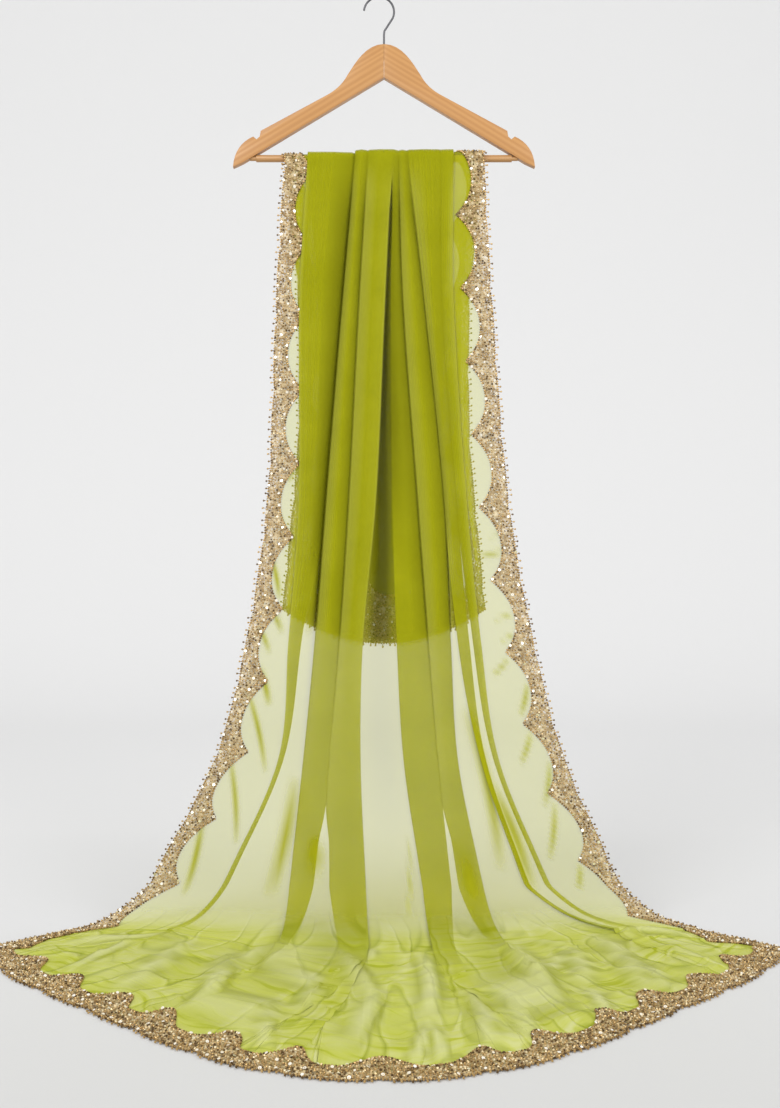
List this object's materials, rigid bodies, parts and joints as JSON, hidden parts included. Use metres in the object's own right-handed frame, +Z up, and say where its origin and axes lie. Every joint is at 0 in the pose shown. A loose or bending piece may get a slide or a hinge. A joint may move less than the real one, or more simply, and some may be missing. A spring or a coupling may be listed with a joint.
{
  "type": "dupatta stole on a wooden hanger",
  "caption": "Sheer dupatta stole with a scalloped beaded border, pleated over the bar of a wooden hanger, its long front end trailing on the floor.",
  "frame": {"origin": "top of the inside of the hanger's hook, where the rail bears", "axes": "+Z up, -Y the front, where the long drop and the train lie, and +X to the right seen from the front"},
  "size_m": [1.0832, 0.6267, 1.3529],
  "materials": {
    "chiffon": "sheer lime green chiffon",
    "beadwork": "gold beads and sequins on lace",
    "wood": "light wood, satin lacquer",
    "wire": "dark steel wire"
  },
  "bodies": {
    "root": {"stole_back": "chiffon", "stole_over_bar": "chiffon", "stole_front": "chiffon", "stole_train": "chiffon", "border_left": "beadwork", "border_right": "beadwork", "border_front_hem": "beadwork", "border_back_hem": "beadwork", "hanger_arm_left": "wood", "hanger_arm_right": "wood", "hanger_bar": "wood", "hanger_hook": "wire"}
  },
  "joints": []
}
